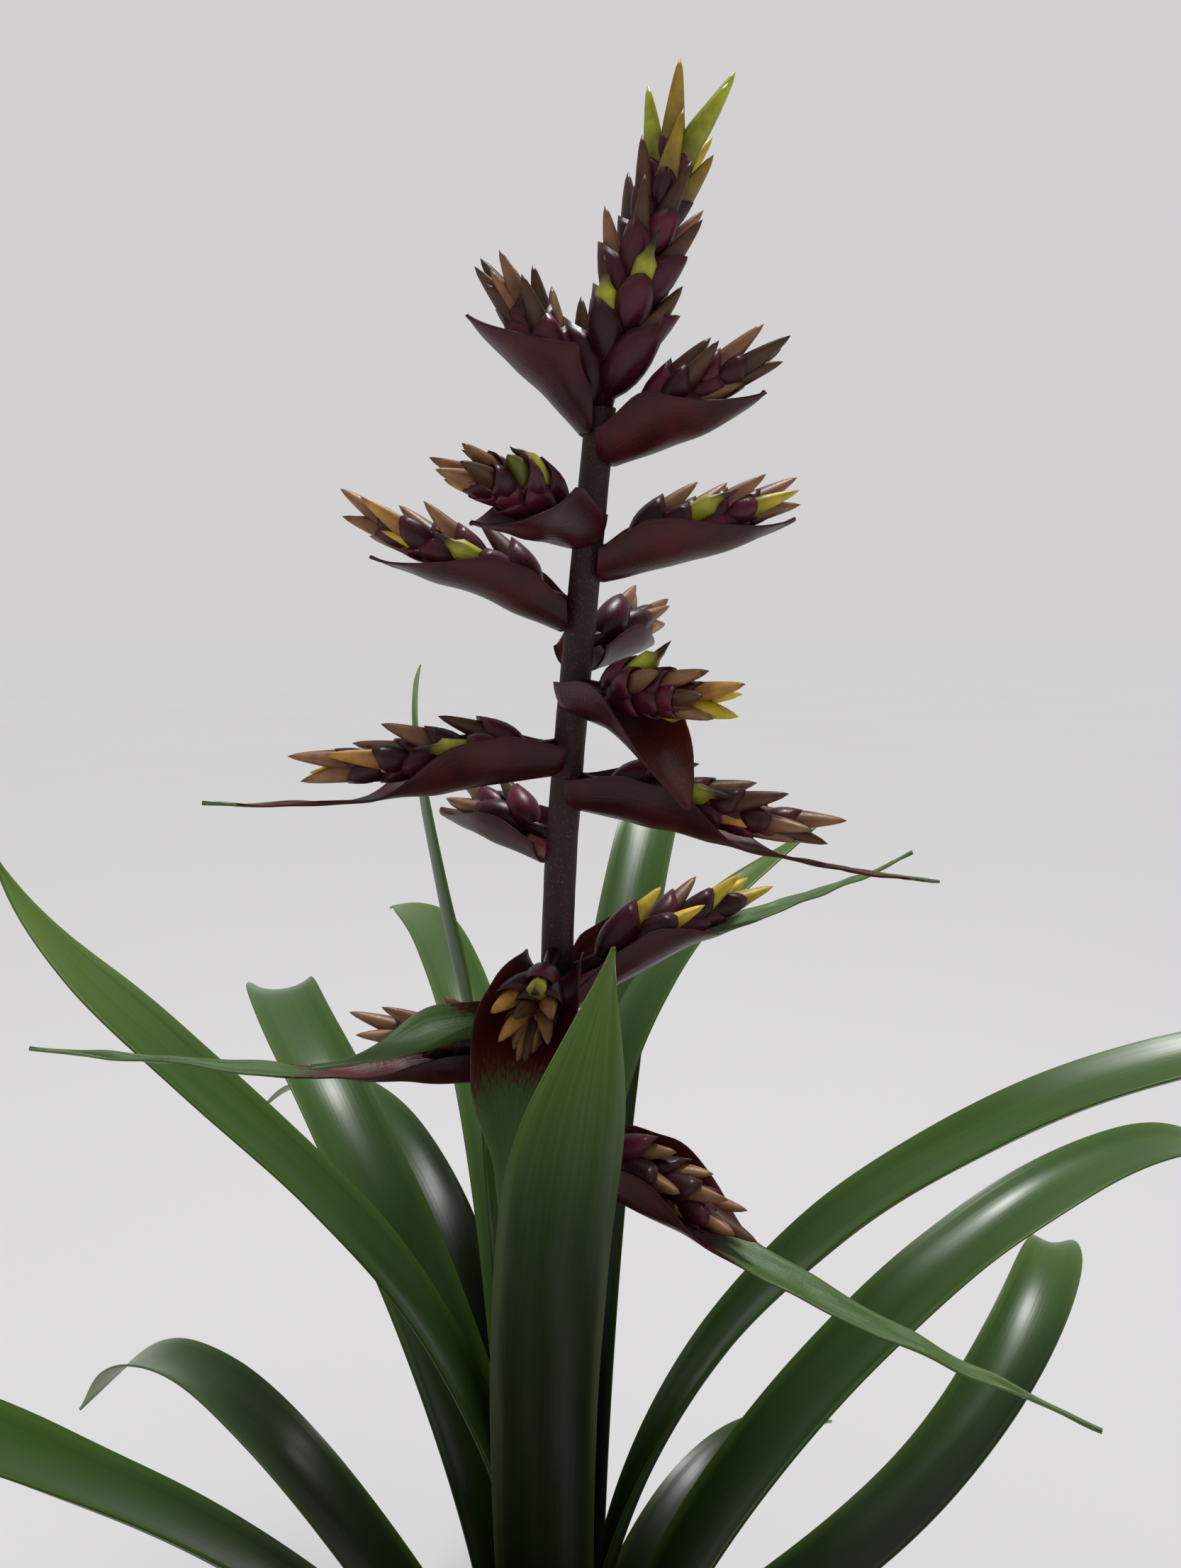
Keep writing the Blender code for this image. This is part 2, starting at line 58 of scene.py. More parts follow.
# %% Sizes of the frame
GAP = 0.3                # air between two pieces that touch
SHEET_LEAF = 0.9
SHEET_BRACT = 0.7
POT_H, POT_TOP_D, POT_BASE_D, POT_WALL = 128.0, 134.0, 102.0, 2.2
RIM_OUT, RIM_H = 3.0, 15.0
SOIL_TOP, SOIL_FALL, SOIL_DEPTH = 118.0, 3.0, 96.0
STEM_BASE_D, STEM_TOP_D, STEM_TOP = 12.4, 9.4, SOIL_TOP + 461.0
STEM_LEAN, STEM_LEAN_FROM, STEM_LEAN_SOFT = 0.100, SOIL_TOP + 312.0, 40.0
LEAF_W, LEAF_TAPER, CHANNEL_R, SHEATH, SHEATH_WIDE = 33.0, 66.0, 26.0, 768.8, 1.5
FLORET_L, FLORET_D, RACHIS_D = 31.0, 9.0, 5.0
FLORET_OPEN, FLORET_CLOSE, FLORET_LOW, FLORET_SHRINK = 27.0, 0.5, 0.30, 0.12
GOLDEN, FIRST_FLOWER, TOP_FIRST = 137.5, 7.0, 4.0
BRACT_W, BRACT_FOOT, BRACT_BELLY, BRACT_FULL = 44.0, 0.70, 16.0, 0.36
BOAT_L, BOAT_FULL, TROUGH_R, TROUGH_OPEN, TROUGH_RUN = 66.0, 24.0, 9.4, 14.2, 26.0
TAIL_FLAT, TAIL_FROM, TAIL_RUN, UPRIGHT = 16.0, 40.0, 40.0, 80.0
HUG, HUG_REACH, CLASP = 20.0, 2.6, 1.12
TOP_LEAN, TOP_LEN, TOP_COUNT, TOP_AXIS_D = 17.0, 100.0, 26, 8.0
STEPS_BETWEEN = 8        # small steps that trace a strip from one station to the next
LEAF_CORNER, ROLL_FROM, ROLL_RUN = 6, 0.3, 0.3
BRACT_TAPER, LOW_FROM, LOW_RUN = 0.8, -0.15, 0.55
RACHIS_STOP, LAST_FLOWER, FIRST_TURN, TURN_SHIFT, TOP_TURN = 0.6, 0.93, 90.0, 0.1, 84.0


def through(values, t):
    """Smooth run through a list of values, t from 0 to 1."""
    work = list(values)
    while len(work) > 1:
        work = [a + (b - a) * t for a, b in zip(work, work[1:])]
    return work[0]


def ease(x):
    x = min(1.0, max(0.0, x))
    return x * x * (3.0 - 2.0 * x)


def stem_x(z):
    rise = z - STEM_LEAN_FROM
    return STEM_LEAN * (math.hypot(rise, STEM_LEAN_SOFT) + rise) / 2.0


def stem_r(z):
    t = min(1.0, max(0.0, (z - SOIL_TOP) / (STEM_TOP - SOIL_TOP)))
    return (STEM_BASE_D + (STEM_TOP_D - STEM_BASE_D) * t) / 2.0


def directions(climb, heading):
    """Ahead, side and up of a strip that climbs and heads by these angles, in radians."""
    ce, se, ca, sa = math.cos(climb), math.sin(climb), math.cos(heading), math.sin(heading)
    return Vector((ce * ca, ce * sa, se)), Vector((-sa, ca, 0.0)), Vector((-se * ca, -se * sa, ce))


def frames(start, climbs, headings, length, stations):
    """Points along a strip, each with its ahead, side and up."""
    out, here = [], Vector(start)
    for k in range(stations + 1):
        t = k / stations
        out.append((here.copy(), *directions(math.radians(through(climbs, t)),
                                             math.radians(through(headings, t)))))
        for j in range(STEPS_BETWEEN):
            tm = t + (j + 0.5) / (STEPS_BETWEEN * stations)
            ahead = directions(math.radians(through(climbs, tm)), math.radians(through(headings, tm)))[0]
            here += ahead * (length / (STEPS_BETWEEN * stations))
    return out


def bent(radius, offset):
    """Sideways and upward place of a point at a distance from the middle line of a bent strip."""
    arc = min(abs(offset) / radius, math.radians(UPRIGHT))
    rest = abs(offset) - arc * radius
    return (math.copysign(radius * math.sin(arc) + rest * math.cos(arc), offset),
            radius * (1.0 - math.cos(arc)) + rest * math.sin(arc))


def placed(place, s, n, roll, shift):
    """Point of a strip from its place across it, rolled and shifted ahead."""
    here, ahead, side, up = place
    c, d = math.cos(roll), math.sin(roll)
    return here + side * (s * c - n * d) + up * (s * d + n * c) + ahead * shift


print("stem leans", round(stem_x(STEM_TOP), 1), "mm to the side at its top")

# %% [markdown]
# ## Finishes
# A finish is a small network of nodes that ends in the Principled shader. Most of the plant's colour
# changes slowly along each piece, so each mesh carries a colour of its own, called tint, point by
# point. On the leaves and cups the tint also holds painted shade, and on the leaves a painted glow
# at the tips and edges. The nodes then lay veins, mottling and scurf over it. Strips also carry a UV
# map in metres, so that veins run along the leaf however it bends.

# %% Helpers for finishes
def begin(name):
    finish = bpy.data.materials.new(name)
    finish.use_nodes = True
    tree = finish.node_tree
    return finish, tree, tree.nodes["Principled BSDF"]


def put(tree, kind, values=None, **settings):
    """Adds a node, sets its properties and the values of its inputs."""
    made = tree.nodes.new("ShaderNode" + kind)
    for key, value in settings.items():
        setattr(made, key, value)
    for key, value in (values or {}).items():
        made.inputs[key].default_value = value
    return made


def scaled(tree, source, scale):
    """Coordinates from an output, stretched by a scale for each axis."""
    mapping = put(tree, "Mapping", {"Scale": scale})
    tree.links.new(source, mapping.inputs["Vector"])
    return mapping.outputs["Vector"]


def speckle(tree, where, scale, detail=4.0, rough=0.55):
    tex = put(tree, "TexNoise", {"Scale": scale, "Detail": detail, "Roughness": rough})
    tree.links.new(where, tex.inputs["Vector"])
    return tex.outputs["Fac"]


def band(tree, source, low, high, out_low=0.0, out_high=1.0):
    """Maps a range of a value onto another range, clamped."""
    tool = put(tree, "MapRange", {"From Min": low, "From Max": high, "To Min": out_low, "To Max": out_high})
    tree.links.new(source, tool.inputs["Value"])
    return tool.outputs["Result"]


def blend(tree, factor, first, second, mode='MIX'):
    """Mixes two colours. Each may be an output or a plain colour."""
    tool = put(tree, "Mix", data_type='RGBA', blend_type=mode)
    for key, value in ((0, factor), (6, first), (7, second)):
        if isinstance(value, bpy.types.NodeSocket):
            tree.links.new(value, tool.inputs[key])
        elif key == 0:
            tool.inputs[key].default_value = value
        else:
            tool.inputs[key].default_value = (*value, 1.0)
    return tool.outputs[2]


def raise_bump(tree, shader, height, strength, depth):
    bump = put(tree, "Bump", {"Strength": strength, "Distance": depth})
    tree.links.new(height, bump.inputs["Height"])
    tree.links.new(bump.outputs["Normal"], shader.inputs["Normal"])


def tinted(tree):
    return put(tree, "Attribute", attribute_name="tint").outputs["Color"]


# %% [markdown]
# ### Leaf green
# A strap leaf is smooth, waxy and deep green, with fine parallel veins from foot to tip. The veins
# are a noise stretched over a hundred times along the UV map's second direction. They vary the colour a
# little and raise a shallow bump, which breaks the long highlights into streaks.

# %% Leaf finishes
def leaf_finish(name, lift, rough, sheen):
    finish, tree, shader = begin(name)
    uv = put(tree, "UVMap", uv_map="strip").outputs["UV"]
    place = put(tree, "TexCoord").outputs["Object"]
    veins = speckle(tree, scaled(tree, uv, (900.0, 5.0, 1.0)), 1.0, 3.0)
    ribs = speckle(tree, scaled(tree, uv, (260.0, 1.5, 1.0)), 1.0, 2.0)
    cloud = speckle(tree, place, 14.0, 3.0)
    base = blend(tree, band(tree, veins, 0.30, 0.75), tinted(tree), lift, 'MULTIPLY')
    base = blend(tree, band(tree, cloud, 0.35, 0.7, 0.0, 0.35), base, (0.62, 0.86, 0.5), 'MULTIPLY')
    tree.links.new(base, shader.inputs["Base Color"])
    tree.links.new(band(tree, cloud, 0.3, 0.7, rough - 0.05, rough + 0.06), shader.inputs["Roughness"])
    height = put(tree, "Math", operation='ADD')
    tree.links.new(veins, height.inputs[0])
    tree.links.new(ribs, height.inputs[1])
    raise_bump(tree, shader, height.outputs[0], 0.25, 0.0002)
    shader.inputs["Specular IOR Level"].default_value = sheen
    shader.inputs["Coat Weight"].default_value = 0.06
    shader.inputs["Coat Roughness"].default_value = 0.25
    return finish


leaf_upper = leaf_finish("leaf_upper", (0.78, 0.84, 0.70), 0.33, 0.40)
# the underside's darker multiply is painted shade; its rougher, duller gloss is the underside's own
leaf_under = leaf_finish("leaf_under", (0.66, 0.70, 0.58), 0.40, 0.24)
print("leaf finishes:", leaf_upper.name, leaf_under.name)

# %% [markdown]
# ### Bracts
# A bract is a leaf that turned to colour: dark maroon and satin outside, warm red-brown inside. The
# long lower bracts run out into green tails, and between the two colours the maroon breaks up into
# dotted lines along the veins. The mesh carries a value called ripe, 1 where the bract is maroon and
# 0 where it is green, and a stretched noise decides which veins keep their maroon longest.

# %% Bract finishes
def bract_finish(name, maroon, rough, lift):
    finish, tree, shader = begin(name)
    uv = put(tree, "UVMap", uv_map="strip").outputs["UV"]
    place = put(tree, "TexCoord").outputs["Object"]
    ripe = put(tree, "Attribute", attribute_name="ripe").outputs["Fac"]
    veins = speckle(tree, scaled(tree, uv, (1100.0, 16.0, 1.0)), 1.0, 3.0)
    dots = speckle(tree, scaled(tree, uv, (1500.0, 420.0, 1.0)), 1.0, 1.0)
    wanted = put(tree, "Math", {1: 0.55}, operation='MULTIPLY_ADD')
    tree.links.new(veins, wanted.inputs[0])
    tree.links.new(dots, wanted.inputs[2])
    reach = put(tree, "Math", {1: 1.9}, operation='MULTIPLY')
    tree.links.new(ripe, reach.inputs[0])
    margin = put(tree, "Math", operation='SUBTRACT')
    tree.links.new(reach.outputs[0], margin.inputs[0])
    tree.links.new(wanted.outputs[0], margin.inputs[1])
    keep = band(tree, margin.outputs[0], -0.10, 0.22)
    cloud = speckle(tree, place, 60.0, 4.0)
    red = blend(tree, band(tree, cloud, 0.35, 0.7), maroon, lift)
    green = blend(tree, band(tree, veins, 0.35, 0.68), tinted(tree), (0.72, 0.8, 0.62), 'MULTIPLY')
    tree.links.new(blend(tree, keep, green, red), shader.inputs["Base Color"])
    tree.links.new(band(tree, cloud, 0.3, 0.7, rough - 0.06, rough + 0.08), shader.inputs["Roughness"])
    grain = speckle(tree, place, 900.0, 2.0)
    height = put(tree, "Math", {1: 0.6}, operation='MULTIPLY_ADD')
    tree.links.new(grain, height.inputs[0])
    tree.links.new(veins, height.inputs[2])
    raise_bump(tree, shader, height.outputs[0], 0.45, 0.0003)
    shader.inputs["Specular IOR Level"].default_value = 0.30
    return finish


bract_outside = bract_finish("bract_outside", (0.030, 0.0042, 0.0060), 0.34, (0.084, 0.0100, 0.0130))
bract_inside = bract_finish("bract_inside", (0.070, 0.0090, 0.0075), 0.40, (0.125, 0.016, 0.011))

# %% [markdown]
# ### Cups and petals
# The cups are satin purple-maroon, powdered with fine pale scurf. Each petal is a smooth waxy point
# whose colour is its age: green-yellow when fresh, then orange, then tan and brown. Both take their
# colour from the tint of the mesh, and the nodes add grain and fine mottling.

# %% Cup and petal finishes
def cup_finish():
    finish, tree, shader = begin("cup_maroon")
    place = put(tree, "TexCoord").outputs["Object"]
    cloud = speckle(tree, place, 160.0, 4.0)
    scurf = speckle(tree, place, 1900.0, 2.0, 0.7)
    base = blend(tree, band(tree, cloud, 0.35, 0.7, 0.0, 0.7), tinted(tree), (0.55, 0.5, 0.6), 'MULTIPLY')
    base = blend(tree, band(tree, scurf, 0.60, 0.74, 0.0, 0.16), base, (0.34, 0.17, 0.18))
    tree.links.new(base, shader.inputs["Base Color"])
    tree.links.new(band(tree, scurf, 0.35, 0.7, 0.27, 0.46), shader.inputs["Roughness"])
    raise_bump(tree, shader, scurf, 0.30, 0.00012)
    shader.inputs["Specular IOR Level"].default_value = 0.32
    return finish


def petal_finish():
    finish, tree, shader = begin("petal_wax")
    place = put(tree, "TexCoord").outputs["Object"]
    cloud = speckle(tree, place, 220.0, 5.0)
    grain = speckle(tree, place, 1400.0, 2.0, 0.6)
    base = blend(tree, band(tree, cloud, 0.40, 0.72, 0.0, 0.75), tinted(tree), (0.52, 0.40, 0.34), 'MULTIPLY')
    tree.links.new(base, shader.inputs["Base Color"])
    tree.links.new(band(tree, grain, 0.3, 0.7, 0.36, 0.52), shader.inputs["Roughness"])
    raise_bump(tree, shader, cloud, 0.25, 0.0002)
    shader.inputs["Specular IOR Level"].default_value = 0.45
    return finish


cup_maroon, petal_wax = cup_finish(), petal_finish()

# %% [markdown]
# ### Stem, soil and pot
# The stem is rough and dark, dusted with tan scurf. The soil is peat with bark crumbs. The pot is
# plain moulded plastic with the faint grain that a mould leaves. All of them vary with the object's
# own coordinates, because nothing on them runs along a strip.

# %% Stem, soil and pot finishes
def grained_finish(name, dark, light, cloud_scale, grain_scale, rough, depth, share=(0.45, 0.6)):
    finish, tree, shader = begin(name)
    place = put(tree, "TexCoord").outputs["Object"]
    cloud = speckle(tree, place, cloud_scale, 4.0)
    grain = speckle(tree, place, grain_scale, 3.0, 0.65)
    base = blend(tree, band(tree, cloud, 0.3, 0.75, 0.0, 0.8), dark, [c * 0.6 for c in dark])
    base = blend(tree, band(tree, grain, *share), base, light)
    tree.links.new(base, shader.inputs["Base Color"])
    tree.links.new(band(tree, grain, 0.3, 0.7, rough - 0.08, rough + 0.08), shader.inputs["Roughness"])
    raise_bump(tree, shader, grain, 0.6, depth)
    return finish


stem_scurf = grained_finish("stem_scurf", (0.034, 0.0065, 0.0075), (0.15, 0.060, 0.045), 90.0, 1100.0,
                            0.62, 0.0005, (0.56, 0.70))
soil_peat = grained_finish("soil_peat", (0.030, 0.019, 0.012), (0.085, 0.055, 0.034), 60.0, 420.0,
                           0.92, 0.0012)
bark_crumb = grained_finish("bark_crumb", (0.075, 0.042, 0.024), (0.16, 0.10, 0.062), 120.0, 600.0,
                            0.88, 0.0006)
pot_plastic = grained_finish("pot_plastic", (0.040, 0.042, 0.044), (0.050, 0.052, 0.055), 30.0, 1600.0,
                             0.46, 0.00004)

# %% [markdown]
# ## Making a piece
# Each piece is shaped as a mesh in millimetres and then scaled to metres. Its object stays at the
# origin, unturned, so that patterns on object coordinates lie still.

# %% Helper that makes a piece
def make_piece(name, bm, finishes, nodes):
    """Turns a bmesh in millimetres into a piece that rides on the root and stands for CAD nodes."""
    bmesh.ops.scale(bm, vec=(MM, MM, MM), verts=bm.verts)
    mesh = bpy.data.meshes.new(name)
    bm.to_mesh(mesh)
    bm.free()
    for finish in finishes:
        mesh.materials.append(finish)
    mesh.shade_smooth()
    piece = bpy.data.objects.new(name, mesh)
    bpy.context.scene.collection.objects.link(piece)
    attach(piece, "root")
    if nodes:
        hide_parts(*nodes)
    return piece


def strip_piece(name, finishes, node, grid, size, point, colour, ripe):
    """A flat grid, shaped by a rule for each point, coloured, and given its thickness."""
    columns, rows = grid
    width, length, thick = size
    bm = bmesh.new()
    bmesh.ops.create_grid(bm, x_segments=columns, y_segments=rows, size=1.0)
    uv = bm.loops.layers.uv.new("strip")
    tint = bm.verts.layers.float_color.new("tint")
    age = bm.verts.layers.float.new("ripe")
    for face in bm.faces:
        for loop in face.loops:
            at = loop.vert.co
            loop[uv].uv = (at.x * width / 2.0 * MM, (at.y + 1.0) / 2.0 * length * MM)
    for v in bm.verts:
        u, t = v.co.x, (v.co.y + 1.0) / 2.0
        v[tint] = (*colour(u, t), 1.0)
        v[age] = ripe(u, t)
        v.co = point(u, t)
    piece = make_piece(name, bm, finishes, [node])
    wall = piece.modifiers.new("thickness", 'SOLIDIFY')
    wall.thickness = thick * MM
    wall.offset = 0.0
    wall.material_offset = 1
    soften = piece.modifiers.new("soft_shading", 'WEIGHTED_NORMAL')
    soften.keep_sharp = False
    return piece


# %% [markdown]
# ## Strap leaves
# A leaf clasps the stem as a half pipe, opens into a shallow channel over its first few
# centimetres, keeps its width, and ends in a point. Its heading and climb change smoothly from the
# foot to the tip, so it arches over like the real one. It could be drawn as a curve with a bevel, but
# a grid bent by a rule gives the channel, the roll and the point at once.

# %% The leaves, one row each
# name: foot radius, length, width factor, climb angles, headings, roll of the tip
LEAVES = {
    "01": (14.4, 350, 1.00, (77, 76, 64, 62), (-96, -84, -69), 0),
    "02": (14.6, 474, 0.90, (89, 60, 44, 14), (80, 76, 76), 0),
    "03": (7.6, 480, 0.62, (89, 89, 30, 24), (126, 127, 90), 85),
    "04": (19.0, 442, 0.90, (84, 54, 22, -16), (104, 105, 116), 0),
    "05": (10.2, 397, 0.60, (80, 111, 8, 29), (89, 75, 24), 0),
    "06": (9.8, 383, 0.92, (89, 89, 0, 62), (184, 178, 165), 0),
    "07": (11.8, 440, 1.00, (89, 67, 18, 2), (-6, -9, -1), 0),
    "08": (17.0, 440, 1.05, (87, 60, 20, -50), (149, 136, 90), 0),
    "09": (21.0, 382, 0.80, (80, 52, 0, -36), (113, 120, 136), 0),
    "10": (22.6, 431, 1.00, (73, 34, 24, -48), (12, 22, 36), 0),
    "11": (28.5, 322, 0.90, (50, 5, 22, 86, -90), (5, 25, 84), 0),
    "12": (25.4, 440, 1.00, (62, 48, 38, 8), (214, 209, 204), 0),
    "13": (27.0, 320, 0.80, (51, 50, -46, -46), (167, 125, 144), 0),
    "14": (19.0, 400, 1.00, (70, 46, 16, -34), (-50, -54, -60), 0),
    "15": (21.9, 410, 1.00, (68, 46, 14, -36), (-114, -116, -120), 0),
    "16": (28.6, 380, 0.95, (56, 36, 2, -44), (-86, -88, -84), 0),
    "17": (24.8, 370, 0.95, (60, 34, 2, -46), (-26, -30, -36), 0),
    "18": (26.2, 174, 0.80, (60, 28, -16, -30), (50, 46, 40), 0),
    "19": (23.8, 330, 0.85, (66, 44, 4, -42), (92, 93, 96), 0),
}
# leaf colours: painted shade at the foot and down the channel, mid green, and the tip and edge colour, which
# is partly the leaf's own paler green and partly a painted glow of light through the leaf
LEAF_SHADED, LEAF_MID, LEAF_TIP_GLOW = (0.009, 0.020, 0.004), (0.050, 0.112, 0.015), (0.150, 0.240, 0.036)
LEAF_COLUMNS, LEAF_STEP = 8, 5.0
FINE_POINT = 0.012       # share of the width left at the tip of a leaf or of a short bract
WAVE_H = 1.6             # height of the gentle waves of a leaf's blade
# how far the painted shade at the foot of a leaf reaches, and over how long it fades; leaf 01, whose outer
# face is in shade, has the longest
LEAF_SHADE_TO, SHADE_USUAL, SHADE_FADE = {"01": 175.0, "02": 120.0, "05": 110.0, "09": 90.0}, 40.0, 260.0


def mix(first, second, share):
    return [a + (b - a) * share for a, b in zip(first, second)]


def build_leaf(key):
    foot, length, wide, climbs, headings, roll = LEAVES[key]
    rows = int(length / LEAF_STEP)
    a = math.radians(headings[0])
    low = SOIL_TOP + GAP + SHEET_LEAF / 2.0 * math.cos(math.radians(climbs[0]))
    line = frames((foot * math.cos(a), foot * math.sin(a), low), climbs, headings, length, rows)
    phase = Vector((7.3 * int(key), 0.0, 0.0))

    def point(u, t):
        along = t * length
        q = (length - along) / LEAF_TAPER
        tip = max(FINE_POINT, q / (1.0 + q ** LEAF_CORNER) ** (1.0 / LEAF_CORNER))
        rolled = 1.0 - ease(along * foot / SHEATH)
        sheath_w = min(LEAF_W * wide, SHEATH_WIDE * foot)
        width = (sheath_w * rolled + LEAF_W * wide * (1.0 - rolled)) * tip
        bend = rolled / foot + (1.0 - rolled) / CHANNEL_R
        turn = math.radians(roll) * ease((t - ROLL_FROM) / ROLL_RUN)
        place = line[round(t * rows)]
        wave = noise.noise(Vector((u * 0.8, along * 0.018, 0.0)) + phase) * WAVE_H
        wave *= ease((t - 0.25) / 0.3)
        return placed(place, *bent(1.0 / bend, u * width / 2.0), turn, 0.0) + place[3] * wave

    def colour(u, t):
        along = t * length
        # painted shade: the foot of the leaf is darker, over a reach given per leaf
        body = mix(LEAF_SHADED, LEAF_MID, ease((along - LEAF_SHADE_TO.get(key, SHADE_USUAL)) / SHADE_FADE))
        # lighter tips and edges: partly the leaf's own paler green, partly a painted glow of light shining
        # through the thin leaf
        body = mix(body, LEAF_TIP_GLOW, 0.75 * ease((t - 0.72) / 0.28) + 0.25 * ease((abs(u) - 0.8) / 0.2))
        # painted shade down the middle of the channel, strongest at the foot
        return mix(body, LEAF_SHADED, 0.35 * (1.0 - ease(abs(u) / 0.35)) * (1.0 - t))

    return strip_piece("strap_leaf_" + key, (leaf_under, leaf_upper), "leaf_" + key,
                       (LEAF_COLUMNS, rows), (LEAF_W * wide, length, SHEET_LEAF), point, colour,
                       lambda u, t: 0.0)


for key in LEAVES:
    build_leaf(key)
print(len(LEAVES), "leaves")

# %% [markdown]
# ## Bracts
# A bract holds its flowers like a boat. At the stem it is a narrow trough whose edges hug the stem,
# then it widens and runs out to a point. The lower ones flatten and go on as a long narrow green
# tail. The same grid and rule as for a leaf make it, with a trough that opens along its length.

# %% The bracts and clusters, one row each
# name: height above the soil, heading, climb angles of the bract, length, width factor, tail width,
# climb of the cluster, its length, its flowers, its lift over the bract, length that stays maroon
SPRAYS = {
    "02": (460, 185, (48, 43, 42, 46), 48, 1.00, 0, 56, 53, 12, 2.0, 99),
    "03": (453, -15, (16, 14, 24, 40), 50, 1.00, 0, 23, 59, 12, 0.3, 99),
    "04": (428, -128, (6, 0, 4, 10), 46, 1.00, 0, 8, 63, 13, 0, 99),
    "05": (402, 172, (24, 20, 20, 20), 66, 1.00, 0, 22, 82, 14, 0.5, 99),
    "06": (418, 10, (12, 12, 18, 30), 66, 1.00, 0, 16, 70, 14, 0, 99),
    "07": (390, 62, (10, 10, 10, 10), 46, 0.90, 0, 8, 60, 10, 0, 99),
    "08": (376, -48, (-12, -14, -34, -56), 52, 1.00, 0, -4, 64, 14, 0, 99),
    "09": (357, 194, (-6, -8, -4, 8), 105, 1.00, 8, -5, 82, 14, 0, 84),
    "10": (328, 132, (10, 8, 10, 12), 62, 0.90, 0, 6, 60, 10, 0, 99),
    "11": (346, -15, (-10, -12, -12, -2), 111, 1.00, 8, -11, 84, 14, 0, 92),
    "12": (279, 24, (26, 18, 0, 22), 144, 0.95, 17, 16, 78, 12, 4, 40),
    "13": (290, -101, (-14, -40, -66, -74), 92, 0.90, 25, -24, 46, 13, 0, 36),
    "14": (256, 188, (2, 8, 8, 10), 158, 0.85, 16, 10, 64, 9, 0, 70),
    "15": (226, -30, (-12, -14, -12, -8), 166, 1.00, 20, -14, 68, 13, 0, 52),
    "16": (274, 212, (12, -6, 0, 2), 76, 0.55, 17, 0, 0, 0, 0, 14),
}
BRACT_GREEN, BRACT_PALE = (0.062, 0.130, 0.026), (0.19, 0.25, 0.10)
BRACT_COLUMNS, BRACT_STEP = 12, 2.4
TAIL_POINT = 0.02        # share of a tail's width left at its tip
CREASE_H = 1.3           # height of the soft creases of a bract
MAROON_FADE = 32.0       # half the length over which maroon gives way to green


def bract_width(length, wide, tail, along):
    """Developed width of a bract at a distance from the stem."""
    foot = BRACT_FOOT + (1.0 - BRACT_FOOT) * ease(along / BRACT_BELLY)
    if tail:
        boat = BRACT_W * wide * foot * (1.0 - ease((along - BOAT_FULL) / (BOAT_L - BOAT_FULL)))
        q = min(1.0, (length - along) / (length - BOAT_L * 0.5))
        return boat + tail * (TAIL_POINT + (1.0 - TAIL_POINT) * q * ease(along / BOAT_L))
    full = BRACT_FULL * length
    q = min(1.0, (length - along) / (length - full))
    return BRACT_W * wide * foot * max(FINE_POINT, q ** BRACT_TAPER)


def build_bract(key):
    rise, heading, climbs, length, wide, tail, *_, maroon_to = SPRAYS[key]
    z = SOIL_TOP + rise
    rows = int(length / BRACT_STEP)
    ring = CLASP * (stem_r(z) + SHEET_BRACT / 2.0 + GAP)
    a, e = math.radians(heading), math.radians(climbs[0])
    low = z - TROUGH_R * math.cos(e)
    line = frames((stem_x(low) + ring * math.cos(a), ring * math.sin(a), low),
                  climbs, (heading, heading), length, rows)

    def point(u, t):
        along = t * length
        trough = TROUGH_R + (TROUGH_OPEN - TROUGH_R) * ease(along / TROUGH_RUN)
        if tail:
            trough += TAIL_FLAT * ease((along - TAIL_FROM) / TAIL_RUN)
        s, n = bent(trough, u * bract_width(length, wide, tail, along) / 2.0)
        reach = math.sqrt(max(HUG_REACH ** 2, ring * ring - s * s))
        shift = (reach + n * math.sin(e) - ring) / math.cos(e) * (1.0 - ease(along / HUG))
        crease = noise.noise(Vector((u * 1.3, along * 0.07, 5.1 * int(key)))) * CREASE_H
        crease *= ease((along - 4.0) / 16.0)
        return placed(line[round(t * rows)], s, n, 0.0, shift) + line[round(t * rows)][3] * crease

    def colour(u, t):
        return mix(BRACT_GREEN, BRACT_PALE, 0.5 * ease((t - 0.6) / 0.4) + 0.3 * ease((abs(u) - 0.6) / 0.4))

    def ripe(u, t):
        edge = 10.0 * abs(u) ** 3
        return 1.0 - ease((t * length - edge - maroon_to + MAROON_FADE) / (2.0 * MAROON_FADE))

    return strip_piece("boat_bract_" + key, (bract_outside, bract_inside), "bract_" + key,
                       (BRACT_COLUMNS, rows), (BRACT_W * wide, length, SHEET_BRACT), point, colour, ripe)


for key in SPRAYS:
    build_bract(key)
print(len(SPRAYS), "bracts")

# %% [markdown]
# ## Flowers
# One flower is a cup, a purple scale rolled round it with a slanting rim, and a pointed petal that
# comes out of the cup. Both start as a small sphere. Its rings are moved to a profile: for the cup
# they swell, close to the rim and then fold back inside, so that the rim is a real edge. The petal's
# rings run out to a point. A side cluster has nine to fourteen flowers round its axis and the top one
# twenty-six, each turned by the golden angle from the last, as plants do.

# %% Flower shapes
CUP_SIDES, CUP_RINGS, RIM_RING = 12, 10, 7
PETAL_SIDES, PETAL_RINGS = 9, 10
# cup colours: painted shade for the cup's foot and for the core deep in the cluster; the cups' red, partly
# their own colour and partly a painted pink highlight; and the rim
CUP_SHADED, CUP_RED_AND_LIT, CUP_RIM = (0.034, 0.0050, 0.0085), (0.170, 0.0210, 0.0400), (0.14, 0.042, 0.036)
